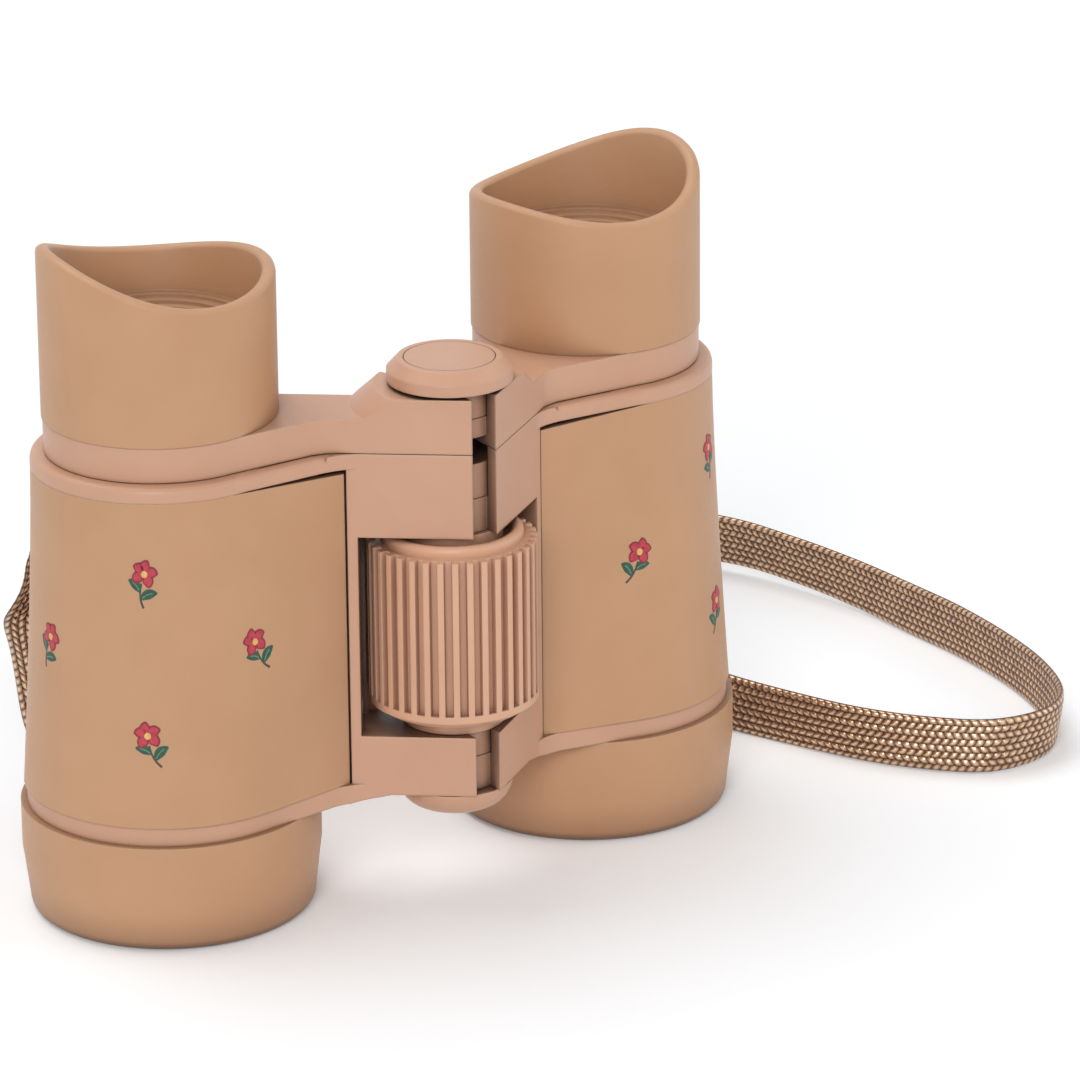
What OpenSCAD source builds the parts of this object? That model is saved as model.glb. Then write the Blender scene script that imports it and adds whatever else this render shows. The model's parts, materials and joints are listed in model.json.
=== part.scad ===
// Toy binoculars: two barrels on a folding hinge with a centre focus wheel and a braided neck strap.
// Millimetres, +Z along the optical axes; the part stands on its objective rings at z = 0.
// Origin: on the standing surface, midway between the barrels. The hinge is on the -Y side.
// The left half and its fixed parts are the root; the right half is its mirror image but for the knuckles.

/* [Barrels] */
// Distance between the two optical axes in the pose shown
barrel_spacing = 66.4; // [64:0.2:70]
// Radius of a grip panel at its top edge
panel_top_r = 17.2; // [16.8:0.1:17.6]
// Radius of a grip panel at its bottom edge
panel_low_r = 19.5; // [18.8:0.1:19.7]
// Wall of a grip panel
panel_wall = 1.3; // [1:0.1:1.6]
// Height of a grip panel's bottom edge
panel_low_z = 17.7; // [17:0.1:19]
// Height of a grip panel's top edge
panel_top_z = 62; // [61:0.1:62.4]
// How far a panel's top edge drops beside the hinge
panel_drop = 0.7; // [0:0.1:1]
// Radius of the body's bottom rim, between panel and objective ring
rim_low_r = 19.1; // [18.6:0.1:19.2]
// Height of the body's top face, under the eyepiece arms
body_top_z = 64.1; // [63.8:0.1:65]
// Rounding of the body's top edge
rim_round = 1.1; // [0.6:0.1:1.4]
// Radius of the bore each eyepiece tube slides in
barrel_bore_r = 13.5; // [13.3:0.1:14]
// Wall of the hollow web between barrel and hinge
web_wall = 1.5; // [1.2:0.1:1.8]

/* [Objective ends] */
// Largest radius of an objective ring
ring_r = 20; // [19.8:0.1:21]
// Radius of an objective ring just above its rounded foot
ring_foot_r = 19.1; // [18.8:0.1:19.6]
// Height of an objective ring
ring_height = 15.1; // [14.6:0.1:15.4]
// Height over which an objective ring narrows to its foot
ring_taper_height = 9; // [6:0.5:11]
// Rounding of an objective ring's foot
foot_round = 1.6; // [1:0.1:1.8]
// Radius of the mouth below the lens
mouth_r = 16.6; // [16:0.1:16.8]
// Radius of the objective lens
lens_r = 15; // [14.6:0.1:15.4]
// Thickness of the objective lens at its edge
lens_edge = 1.6; // [1.2:0.1:2]
// Radius of curvature of the objective lens
lens_curve_r = 70; // [60:1:120]
// Height of the seat the objective lens rests on
lens_seat_z = 4.2; // [3.8:0.1:4.6]
// Opening in the lens seat
lens_open_r = 14.2; // [13.6:0.1:14.2]
// Height of the ring that holds the objective lens down
retainer_height = 1.8; // [1.2:0.1:2.2]
// Radius of the body's spigot in the objective ring
spigot_r = 16.6; // [16.4:0.1:17]
// Gap between the body's spigot and the ring that holds the objective lens
spigot_gap = 2.5; // [1.5:0.1:3.5]

/* [Hinge] */
// How far the hinge axis stands in front of the line between the barrels
hinge_offset = 18.4; // [17.8:0.2:19]
// Angle of each arm's front face to the line between the barrels
arm_turn = 37; // [36:0.5:38]
// Front face of the arms, from the hinge axis
arm_front = 7.7; // [7.6:0.1:8]
// Back face of the arms, from the hinge axis
arm_back = 2; // [1.6:0.1:2.4]
// Gap between the two halves at the front of the hinge
front_gap = 3.6; // [3.4:0.1:4]
// Radius of the hinge rings
knuckle_r = 6.15; // [5.8:0.05:6.2]
// Radius of the hinge shaft and of the lower pin
shaft_r = 3; // [2.6:0.1:3.2]
// Bottom face of the upper body knuckles
upper_low_z = 52.5; // [52.5:0.1:53]
// Share of the upper knuckles' height that belongs to the right half
upper_split_share = 0.5; // [0.45:0.01:0.55]
// Bottom face of the lower body knuckles, at the hinge
lower_low_z = 16.2; // [16:0.1:16.6]
// Share of the lower knuckles' height that belongs to the right half
lower_split_share = 0.57; // [0.5:0.01:0.62]
// Top face of the lower body knuckles
lower_top_z = 24.5; // [24:0.1:24.5]
// Radius of the bottom cap
bottom_cap_r = 7.7; // [7:0.1:8]
// Height of the bottom cap
bottom_cap_height = 3.5; // [3:0.1:4]

/* [Focus wheel] */
// Outer radius over the ribs
wheel_r = 11.3; // [10.8:0.1:11.5]
// Number of ribs
rib_count = 36; // [30:1:40]
// Width of a rib
rib_width = 0.85; // [0.6:0.05:1]
// Depth of the grooves between ribs
rib_depth = 1; // [0.6:0.1:1.2]
// Height of the ribs' bottom edge above the lower knuckles
rib_low_gap = 4.3; // [3.9:0.1:4.9]
// Gap between the ribs' top edge and the upper knuckles
rib_top_gap = 2.2; // [2.1:0.1:2.7]
// Gap between the wheel's plain band and the lower knuckles
band_gap = 2.2; // [1.9:0.1:2.5]
// Radius at the bottom of the plain band
band_low_r = 9.6; // [9:0.1:10]
// Outer radius of the top flange
flange_r = 9.5; // [9.2:0.1:9.8]
// Thickness of the rounded top flange
flange_thick = 1.6; // [1.4:0.1:1.6]
// Height of the top flange above the ribs
flange_height = 1.5; // [1.2:0.1:1.7]
// Depth of the groove between flange and hub
hub_groove = 2; // [1:0.1:3]
// Radius of the hub and the neck
hub_r = 6.8; // [6.4:0.1:7]
// Width of the strip of body beside the wheel
strip_width = 1.35; // [1.2:0.05:1.6]
// Space between the ribs and that strip
wheel_gap = 0.4; // [0.3:0.05:0.6]

/* [Eyepieces] */
// Thickness of an eyepiece arm
arm_height = 4.7; // [4.4:0.1:5]
// Radius of the collar round an eyepiece
collar_r = 15.36; // [15:0.02:15.5]
// Rounding where an arm bends forward to the hinge
bend_r = 8; // [4:0.5:10]
// How much further from the hinge than the panel's edge an eyepiece arm bends
bend_shift = 2.7; // [2:0.1:3]
// Height of the boss under the top cap, above the arms
boss_height = 2.75; // [2.5:0.05:3]
// Radius of the boss where it leaves the arm
boss_low_r = 13.2; // [12.6:0.1:13.6]
// Radius of the boss at its top
boss_top_r = 10.2; // [9.8:0.1:10.6]
// Wall of an eyepiece tube
tube_wall = 1.4; // [1.2:0.1:1.6]
// Length of an eyepiece tube below its arm
tube_length = 12.5; // [11:0.5:14]
// Height of the right arm's ring above the arms' bottom face
arm_ring_gap = 1.4; // [1:0.1:1.6]
// Height of the right arm's ring
arm_ring_height = 2.7; // [2.4:0.1:3]
// Outer radius of an eyecup
cup_r = 15.55; // [15.4:0.05:15.8]
// Height of the eyecup's lowest rim point above the arm
cup_low_height = 18; // [17:0.1:18.5]
// Height the eyecup's wing stands above the lowest rim point
wing_height = 6.4; // [5:0.1:7.5]
// How far the saddle's low line lies towards the hinge from the eyecup's axis
saddle_shift = 3.7; // [3:0.1:4.5]
// How far the wings turn backwards
wing_turn = 9; // [0:1:15]
// Thickness of the eyecup's rim
cup_lip = 1.9; // [1.8:0.1:2.2]
// Rounding of the rim's outer edge
lip_outer_round = 0.9; // [0.4:0.1:1]
// Rounding of the rim's inner edge
lip_inner_round = 0.8; // [0.4:0.1:0.8]
// Radius of the eyecup's floor
cup_floor_r = 13; // [12.8:0.1:13.2]
// Depth of the eyecup's floor below the lowest rim point
cup_depth = 5.8; // [5:0.1:6.4]
// Number of steps in the floor
step_count = 3; // [2:1:4]
// Height of a step in the floor
step_height = 0.5; // [0.3:0.1:0.6]
// Radius of the viewing aperture
aperture_r = 8; // [7.5:0.1:8.2]
// Thickness of the wall round the aperture
aperture_wall = 1.4; // [1.2:0.1:1.8]
// Radius of the ocular lens
ocular_r = 9.4; // [9.2:0.1:9.6]
// Thickness of the ocular lens at its edge
ocular_edge = 1.4; // [1.2:0.1:1.8]
// Radius of curvature of the ocular lens
ocular_curve_r = 30; // [28:1:40]
// Height of the ring that holds the ocular lens
ocular_ring_height = 2; // [1.6:0.1:2.4]
// Wall of the rings that hold the lenses
retainer_wall = 1.6; // [1.4:0.1:1.8]

/* [Top cap] */
// Radius of the cap over the hinge
cap_r = 8.33; // [8:0.01:8.6]
// Height of the cap
cap_height = 3; // [2.6:0.1:3.2]
// Height of the cap's straight side
cap_side = 1.5; // [1.2:0.1:1.8]
// Radius of the cap's flat top
cap_top_r = 6.9; // [6.7:0.1:7.2]
// Gap between the cap and the boss
cap_gap = 0.55; // [0.4:0.05:0.7]
// Radius of the disc set in the cap
disc_r = 6; // [5.6:0.1:6.2]
// Thickness of the disc set in the cap
disc_height = 0.7; // [0.5:0.1:0.9]
// Radius of the cap's foot on the left arm's ring
cap_foot_r = 4.6; // [4.2:0.1:5]

/* [Strap] */
// Width of the braided strap
strap_width = 8; // [7:0.5:8.5]
// Thickness of the braided strap
strap_thick = 1.2; // [1:0.1:1.4]
// Width of a strap lug
lug_width = 12; // [11.5:0.5:13]
// Height of a strap lug
lug_height = 7; // [6:0.5:8]
// Height of a lug's bottom face
lug_low_z = 40.5; // [40:0.1:41]
// How far a lug stands out from the optical axis
lug_reach = 23.5; // [23.4:0.1:23.5]
// Rounding of a lug's corners
lug_round = 1.5; // [1:0.1:1.6]
// Depth of the slot in a lug
lug_slot = 2.2; // [1.8:0.1:2.4]
// Wall of a lug outside its slot
lug_bar = 1.7; // [1.5:0.1:2]

/* [Fits] */
// Radial clearance of parts that turn on the shaft
turn_clear = 0.05; // [0.02:0.01:0.1]
// Clearance between parts that pass each other
pass_clear = 0.3; // [0.25:0.05:0.35]
// Clearance between flat faces that move past each other
face_clear = 0.1; // [0.05:0.05:0.15]

/* [Hidden] */
$fn = 96;
// facets of the wide circles that shape the lenses
lens_fn = 720;
// overrun of cuts through a face and of pieces that run into each other
over = 1;
// how far a smooth joint of two curves runs past its touching point
sink = 0.06;
// length to which plan shapes and cutting blocks run beyond the part
reach = 4 * ring_r;
half_spacing = barrel_spacing / 2;
hinge_span = norm([half_spacing, hinge_offset]);
bar_length = hinge_span - barrel_bore_r;
clear_r = knuckle_r + pass_clear;
arm_low_z = body_top_z + face_clear;
arm_top_z = arm_low_z + arm_height;
boss_top_z = arm_top_z + boss_height;
arm_ring_low_z = arm_low_z + arm_ring_gap;
arm_split_z = arm_ring_low_z + arm_ring_height;
cap_low_z = boss_top_z + cap_gap;
tube_r = barrel_bore_r - pass_clear;
tube_bore_r = tube_r - tube_wall;
// the halves are cut back to this angle behind the hinge, so that they can fold together
back_turn = 113;
// the window for the wheel, the strip beside it and the panel's edge, along the arm from the hinge axis
window_edge = wheel_r + wheel_gap;
strip_edge = window_edge + strip_width;
panel_edge = strip_edge + pass_clear;
web_front = arm_front - panel_wall - pass_clear;
// the panel's flare follows a power of the height; its back edge and the plain strip beyond it
panel_power = 1.4;
panel_end_turn = 10;
plain_strip_turn = 24;
plain_gap_turn = 1;
plain_depth = panel_low_r - rim_low_r + face_clear;
panel_arc_count = 34;
panel_flat_count = 3;
panel_level_count = 9;
// turn of each flat of the rounded rim
rim_turn = 30;
// heights at which the knuckles change hands
upper_split_z = mix(upper_low_z, panel_top_z, upper_split_share);
lower_split_z = mix(lower_low_z, lower_top_z, lower_split_share);
// the wheel between the knuckles, from the foot of its neck to the top of its hub, and the shaft in it
neck_low_z = lower_top_z + face_clear;
hub_top_z = upper_low_z - face_clear;
band_low_z = lower_top_z + band_gap;
rib_low_z = lower_top_z + rib_low_gap;
rib_top_z = upper_low_z - rib_top_gap;
shaft_low_z = rib_low_z;
cup_low_z = arm_top_z + cup_low_height;
cup_floor_z = cup_low_z - cup_depth;
// the winged rim lies on a cylinder across the eyecup
saddle_span = cup_r + saddle_shift;
saddle_r = (pow(saddle_span, 2) + pow(wing_height, 2)) / (2 * wing_height);
cup_side_count = 72;
aperture_z = cup_floor_z - step_count * step_height;
ocular_z = aperture_z - aperture_wall - ocular_edge;
ocular_seat_r = ocular_r + pass_clear;
lens_bore_r = lens_r + pass_clear;
lens_top_z = lens_seat_z + lens_edge;
spigot_low_z = lens_top_z + retainer_height + spigot_gap;
rim_mid_z = (ring_height + panel_low_z) / 2;
lug_slot_low = lug_reach - lug_bar - lug_slot;
lug_mid_z = lug_low_z + lug_height / 2;

// strap: points of its middle line on a grid of this step, from the left lug to the right one
strap_step = 1;
strap_route = concat([[-half_spacing, lug_reach, lug_mid_z]], strap_step * [
  [-33.4, 27.4, 43.4], [-34.6, 31.2, 39], [-35.6, 32.6, 32], [-34.8, 33.4, 24], [-32, 35, 14],
  [-27, 40, 7], [-19, 49, 4.4], [-12, 60, 4.1], [-8, 72, 4.1],
  [-2, 83, 4.1], [9, 88, 4.1], [20, 83, 4.1], [25, 72, 4.1], [26, 60, 4.1],
  [28, 48, 4.1], [34, 39, 4.1], [43, 36, 4.1], [52, 40, 4.1], [58, 50, 4.1],
  [61, 63, 4.1], [67, 75, 4.1], [79, 80, 4.4], [90, 73, 5], [98, 60, 5.4],
  [102, 48, 5], [104.6, 36, 4.4], [105.6, 24, 4.1], [106, 12, 4.1], [105, -1, 4.1],
  [102.6, -12, 4.1], [98.6, -21, 4.1], [93.6, -25.6, 4.1], [88, -26.8, 4.1], [82.6, -25.6, 4.1],
  [77.6, -21.4, 4.1], [72.6, -15, 4.1], [68.4, -7, 4.1], [62.6, 8, 4.1], [57, 19.6, 5.4],
  [50, 27.6, 10], [43, 31.6, 18], [37.4, 32.2, 27], [34.8, 31.6, 35], [33.6, 29.8, 40.6],
  [33.4, 27.4, 43.4]
], [[half_spacing, lug_reach, lug_mid_z]]);
// turn of the strap's width away from upright at the same points
strap_turn = [
  90, 90, 90, 90, 84, 66, 44, 20, 6, 0, 0, 0, 0, 0, 0, 0, 0, 0, 0, 0, 0, 0, 0, 4, 8, 8, 4, 0, 0, 0,
  -4, -8, -8, -4, 0, 0, 0, 0, 6, 20, 40, 60, 76, 88, 90, 90, 90
];
strap_part_count = 2;

shell_colour = [0.80, 0.63, 0.52];
grip_colour = [0.77, 0.61, 0.46];
glass_colour = [0.75, 0.85, 0.90];
dark_colour = [0.20, 0.19, 0.18];
metal_colour = [0.70, 0.70, 0.72];
strap_colour = [0.55, 0.42, 0.31];

// a plan point on the left arm: u away from the hinge axis, w towards the arm's front face
function on_arm(u, w) = [
  -u * cos(arm_turn) - w * sin(arm_turn),
  -hinge_offset + u * sin(arm_turn) - w * cos(arm_turn)
];
function barrel_point(r, a) = [-half_spacing + r * cos(a), r * sin(a)];
// the angle at which a line from point p touches the front of a circle round the left barrel
function touch_angle(p, r) =
  let (d = p - barrel_point(0, 0))
  atan2(d[1], d[0]) - acos(r / norm(d));
function mix(a, b, s) = a + (b - a) * s;
function unit(v) = v / norm(v);
function panel_r(s) = mix(panel_top_r, panel_low_r, pow(1 - s, panel_power));

module at_barrel() {
  translate([-half_spacing, 0, 0]) children();
}

module at_hinge() {
  translate([0, -hinge_offset, 0]) children();
}

// plan frame of the left arm: x away from the hinge, y towards its front face
module arm_frame() {
  at_hinge() rotate(180 - arm_turn) children();
}

module hinge_disc(r, span) {
  at_hinge() translate([0, 0, span[0]]) cylinder(h = span[1] - span[0], r = r);
}

// plan region that belongs to the left half round the hinge
module half_mask() {
  intersection() {
    arm_frame() translate([-reach, -reach]) square([2 * reach, reach + arm_front]);
    polygon([
      [-front_gap / 2, -hinge_offset - reach],
      [-front_gap / 2, -hinge_offset],
      [-front_gap / 2 + reach * cos(back_turn), -hinge_offset + reach * sin(back_turn)],
      [-reach, reach],
      [-reach, -hinge_offset - reach]
    ]);
  }
}

module bar_plan() {
  intersection() {
    arm_frame() translate([-reach, -arm_back]) square([reach + bar_length, arm_back + arm_front]);
    half_mask();
  }
}

// fills the hollow corner p between the line towards the barrel and the arm's front face
module bend_fill(p, to_barrel) {
  half_angle = (to_barrel > 0 ? 360 - to_barrel - arm_turn : -to_barrel - arm_turn) / 2;
  middle = -arm_turn - half_angle;
  outward = [cos(middle), sin(middle)];
  side = bend_r / tan(half_angle);
  centre = p + (bend_r / sin(half_angle) - sink) * outward;
  difference() {
    polygon([
      p - over * outward,
      p + side * [cos(to_barrel), sin(to_barrel)],
      centre,
      p + side * [cos(arm_turn), -sin(arm_turn)]
    ]);
    translate(centre) circle(r = bend_r);
  }
}

// barrel circle with the smooth front that runs from it to point p on the arm's face
module half_plan(r, p) {
  touch = barrel_point(r - sink, touch_angle(p, r));
  at_barrel() circle(r = r);
  polygon([barrel_point(0, 0), touch, p + over * unit(p - touch), on_arm(panel_edge, 0)]);
  bend_fill(p, atan2(touch[1] - p[1], touch[0] - p[0]));
}

// profile of the rounded top rim between two heights: x is the depth behind its face
function rim_side(low, top) = concat([[0, low]], [
  for (a = [0 : rim_turn : 90]) [rim_round * (1 - cos(a)), top - rim_round * (1 - sin(a))]
]);

// rim above the panel, its top edge rounded round the barrel and along the flat front
module top_rim(front) {
  touch = barrel_point(panel_top_r - sink, touch_angle(front, panel_top_r));
  along = atan2(front[1] - touch[1], front[0] - touch[0]);
  flat_low = panel_top_z + sink;
  flat_top = body_top_z - sink;
  at_barrel() rotate_extrude() polygon(concat(
    [[0, panel_top_z]],
    [for (q = rim_side(panel_top_z, body_top_z)) [panel_top_r - q[0], q[1]]],
    [[0, body_top_z]]
  ));
  translate([touch[0], touch[1], 0]) rotate([90, 0, 90 + along])
    linear_extrude(norm(front - touch) + over)
      polygon(concat(rim_side(flat_low, flat_top), [[arm_front, flat_top], [arm_front, flat_low]]));
  translate([0, 0, panel_top_z]) linear_extrude(body_top_z - panel_top_z) bend_fill(front, 180 + along);
}

// block over a rectangle in the left arm's plan frame, from one height to another
module arm_block(corner, size, span) {
  translate([0, 0, span[0]]) linear_extrude(span[1] - span[0]) arm_frame() translate(corner) square(size);
}

// bar from the hinge to the barrel: recess for the panel's edge, window for the wheel, hollow beside it
module body_bar() {
  window = [lower_top_z, upper_low_z];
  hollow = web_front + arm_back - 2 * web_wall;
  difference() {
    translate([0, 0, ring_height]) linear_extrude(body_top_z - ring_height) bar_plan();
    arm_block([strip_edge, web_front], [reach, reach], [panel_low_z - sink, panel_top_z + 2 * sink]);
    arm_block([-reach, -reach], [reach + window_edge, 2 * reach], window);
    arm_block([window_edge - over, web_wall - arm_back], [bar_length, hollow], window);
  }
}

module body_web() {
  front = on_arm(panel_edge, arm_front);
  slope_edge = bottom_cap_r + pass_clear;
  slope_top = lower_low_z - sink;
  slope_low = ring_height - over;
  slope_end = mix(slope_edge, strip_edge, (slope_top - slope_low) / (slope_top - ring_height));
  top_rim(front);
  difference() {
    union() {
      body_bar();
      translate([0, 0, ring_height]) linear_extrude(panel_low_z - ring_height) half_plan(rim_low_r, front);
    }
    arm_block([-reach, -reach], [reach + slope_edge, 2 * reach], [slope_low, lower_low_z]);
    arm_frame() translate([0, reach, 0]) rotate([90, 0, 0]) linear_extrude(2 * reach)
      polygon([[0, slope_low], [0, slope_top], [slope_edge, slope_top], [slope_end, slope_low]]);
  }
}

// profile of the body behind a panel, drawn in by the depth given, from one rim into the other
function barrel_profile(depth) = concat(
  [[0, rim_mid_z], [panel_low_r - depth, rim_mid_z]],
  [for (j = [1 : panel_level_count - 1])
    [panel_r(j / panel_level_count) - depth, mix(panel_low_z, panel_top_z, j / panel_level_count)]],
  [[panel_top_r - depth, body_top_z - rim_round], [0, body_top_z - rim_round]]
);

// barrel behind the panel, its spigot, and the plain strip that shows between the panel's ends
module body_tube() {
  strip_end = panel_end_turn - plain_gap_turn;
  at_barrel() {
    rotate_extrude() polygon(barrel_profile(panel_wall + pass_clear));
    translate([0, 0, spigot_low_z]) cylinder(h = rim_mid_z - spigot_low_z, r = spigot_r);
    intersection() {
      rotate_extrude() polygon(barrel_profile(plain_depth));
      linear_extrude(reach) polygon([
        [0, 0],
        reach * [cos(strip_end - plain_strip_turn), sin(strip_end - plain_strip_turn)],
        reach * [cos(strip_end), sin(strip_end)]
      ]);
    }
  }
}

module lug() {
  inner = lug_width - 2 * lug_round;
  slot = strap_width + 2 * pass_clear;
  at_barrel() translate([0, 0, lug_low_z]) linear_extrude(lug_height) difference() {
    union() {
      translate([-lug_width / 2, barrel_bore_r]) square([lug_width, lug_reach - lug_round - barrel_bore_r]);
      translate([-inner / 2, barrel_bore_r]) square([inner, lug_reach - barrel_bore_r]);
      for (x = [-inner / 2, inner / 2]) translate([x, lug_reach - lug_round]) circle(r = lug_round);
    }
    translate([-slot / 2, lug_slot_low]) square([slot, lug_slot]);
  }
}

// one half of the body: rings are its own knuckles, spaces those of the other half
module body_half(rings, spaces, pin_clear) {
  color(shell_colour) difference() {
    union() {
      difference() {
        union() {
          body_web();
          body_tube();
          lug();
        }
        for (s = spaces) hinge_disc(clear_r, s);
      }
      for (s = rings) hinge_disc(knuckle_r, s);
    }
    at_barrel() translate([0, 0, spigot_low_z - over])
      cylinder(h = body_top_z - spigot_low_z + 2 * over, r = barrel_bore_r);
    hinge_disc(shaft_r + turn_clear, [upper_low_z - over, body_top_z + over]);
    hinge_disc(shaft_r + pin_clear, [lower_low_z - over, lower_top_z + over]);
  }
}

module left_body() {
  body_half(
    [[upper_split_z, panel_top_z], [lower_split_z + face_clear, lower_top_z]],
    [
      [upper_low_z - over, upper_split_z], [panel_top_z, body_top_z + over],
      [lower_low_z - over, lower_split_z + face_clear]
    ],
    0
  );
}

module right_body() {
  mirror([1, 0, 0]) body_half(
    [[upper_low_z, upper_split_z - face_clear], [lower_low_z, lower_split_z]],
    [[upper_split_z - face_clear, body_top_z + over], [lower_split_z, lower_top_z + over]],
    turn_clear
  );
}

// one plan point of the panel: columns run round the barrel from the back, then along the flat front
function panel_plan(r, p, i) =
  let (last = 360 + touch_angle(p, r))
  i <= panel_arc_count
    ? barrel_point(r, mix(panel_end_turn, last, i / panel_arc_count))
    : mix(barrel_point(r, last), p, (i - panel_arc_count) / panel_flat_count);
function panel_point(depth, j, i) =
  let (
    s = j / panel_level_count,
    plan = panel_plan(panel_r(s) - depth, on_arm(panel_edge, arm_front - depth), i),
    top = panel_top_z - panel_drop * max(0, i - panel_arc_count) / panel_flat_count
  )
  [plan[0], plan[1], mix(panel_low_z, top, s)];

module grip_panel() {
  columns = panel_arc_count + panel_flat_count;
  row = columns + 1;
  layer = row * (panel_level_count + 1);
  points = [
    for (depth = [0, panel_wall], j = [0 : panel_level_count], i = [0 : columns]) panel_point(depth, j, i)
  ];
  faces = concat(
    [for (j = [0 : panel_level_count - 1], i = [0 : columns - 1]) let (a = j * row + i)
      each [[a, a + row, a + row + 1], [a, a + row + 1, a + 1]]],
    [for (j = [0 : panel_level_count - 1], i = [0 : columns - 1]) let (a = layer + j * row + i)
      each [[a, a + row + 1, a + row], [a, a + 1, a + row + 1]]],
    [for (i = [0 : columns - 1]) let (a = i, b = layer + i)
      each [[a, a + 1, b + 1], [a, b + 1, b]]],
    [for (i = [0 : columns - 1]) let (a = panel_level_count * row + i, b = layer + a)
      each [[a, b + 1, a + 1], [a, b, b + 1]]],
    [for (j = [0 : panel_level_count - 1]) let (a = j * row, b = layer + a)
      each [[a, b, b + row], [a, b + row, a + row]]],
    [for (j = [0 : panel_level_count - 1]) let (a = j * row + columns, b = layer + a)
      each [[a, b + row, b], [a, a + row, b + row]]]
  );
  notch = lug_width + 2 * pass_clear;
  color(grip_colour) difference() {
    polyhedron(points, faces);
    at_barrel() translate([-notch / 2, barrel_bore_r, lug_low_z - pass_clear])
      cube([notch, reach, lug_height + 2 * pass_clear]);
  }
}

module objective_ring() {
  foot = ring_foot_r - foot_round;
  socket_r = spigot_r + pass_clear;
  color(grip_colour) at_barrel() rotate_extrude() difference() {
    union() {
      polygon([
        [lens_open_r, 0], [foot, 0], [foot, foot_round], [ring_foot_r, foot_round],
        [ring_r, ring_taper_height], [ring_r, ring_height], [lens_open_r, ring_height]
      ]);
      translate([foot, foot_round]) circle(r = foot_round);
    }
    polygon([[0, -over], [mouth_r, -over], [mouth_r, 0], [lens_open_r, lens_seat_z], [0, lens_seat_z]]);
    translate([0, lens_seat_z]) square([lens_bore_r, ring_height]);
    translate([0, spigot_low_z - face_clear]) square([socket_r, ring_height]);
  }
}

// a lens with a flat face at the top of its edge and a domed face below, its seat at z = 0
module lens(r, open_r, edge, curve_r) {
  dome_turn = asin(open_r / curve_r);
  sag = curve_r * (1 - cos(dome_turn));
  color(glass_colour) rotate_extrude() {
    square([r, edge]);
    intersection() {
      translate([0, -sag]) square([open_r, edge + sag]);
      translate([0, curve_r - sag]) circle(r = curve_r, $fn = lens_fn);
    }
  }
}

module objective_lens() {
  at_barrel() translate([0, 0, lens_seat_z]) lens(lens_r, lens_open_r, lens_edge, lens_curve_r);
}

module lens_retainer() {
  color(dark_colour) at_barrel() translate([0, 0, lens_top_z]) difference() {
    cylinder(h = retainer_height, r = lens_r);
    translate([0, 0, -over]) cylinder(h = retainer_height + 2 * over, r = lens_r - retainer_wall);
  }
}

// one eyepiece arm: ring is its own knuckle, spaces those of the other arm
module arm_half(ring, spaces, pin_clear) {
  bend = on_arm(panel_edge + bend_shift, arm_front);
  color(shell_colour) difference() {
    union() {
      difference() {
        union() {
          translate([0, 0, arm_low_z]) linear_extrude(arm_height) {
            half_plan(collar_r, bend);
            bar_plan();
          }
          translate([0, 0, arm_top_z]) intersection() {
            at_hinge() cylinder(h = boss_height, r1 = boss_low_r, r2 = boss_top_r);
            linear_extrude(boss_height) half_mask();
          }
        }
        for (s = spaces) hinge_disc(clear_r, s);
      }
      hinge_disc(knuckle_r, ring);
      at_barrel() translate([0, 0, arm_low_z - tube_length]) cylinder(h = tube_length + over, r = tube_r);
    }
    at_barrel() translate([0, 0, arm_low_z - tube_length - over])
      cylinder(h = tube_length + arm_height + 2 * over, r = tube_bore_r);
    hinge_disc(shaft_r + pin_clear, [arm_low_z - over, boss_top_z + over]);
  }
}

module left_arm() {
  arm_half([arm_split_z, boss_top_z], [[arm_low_z - over, arm_split_z]], 0);
}

module right_arm() {
  mirror([1, 0, 0]) arm_half(
    [arm_ring_low_z, arm_split_z - face_clear],
    [[arm_split_z - face_clear, boss_top_z + over]],
    turn_clear
  );
}

// height of the winged rim over a plan point of the eyecup, given by its radius and angle
function saddle_z(r, a) =
  cup_low_z + saddle_r - sqrt(pow(saddle_r, 2) - pow(r * cos(a + wing_turn) - saddle_shift, 2));

// section of the eyecup at one angle: up its outside, over the rounded rim and down to its floor
function cup_section(a) =
  let (outer = cup_r - lip_outer_round, inner = cup_r - cup_lip + lip_inner_round)
  concat(
    [[cup_r, arm_top_z]],
    [for (t = [0 : rim_turn : 90])
      [outer + lip_outer_round * cos(t), saddle_z(outer, a) - lip_outer_round * (1 - sin(t))]],
    [for (t = [90 : rim_turn : 180])
      [inner + lip_inner_round * cos(t), saddle_z(inner, a) - lip_inner_round * (1 - sin(t))]],
    [[cup_floor_r, cup_floor_z]]
  );

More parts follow.
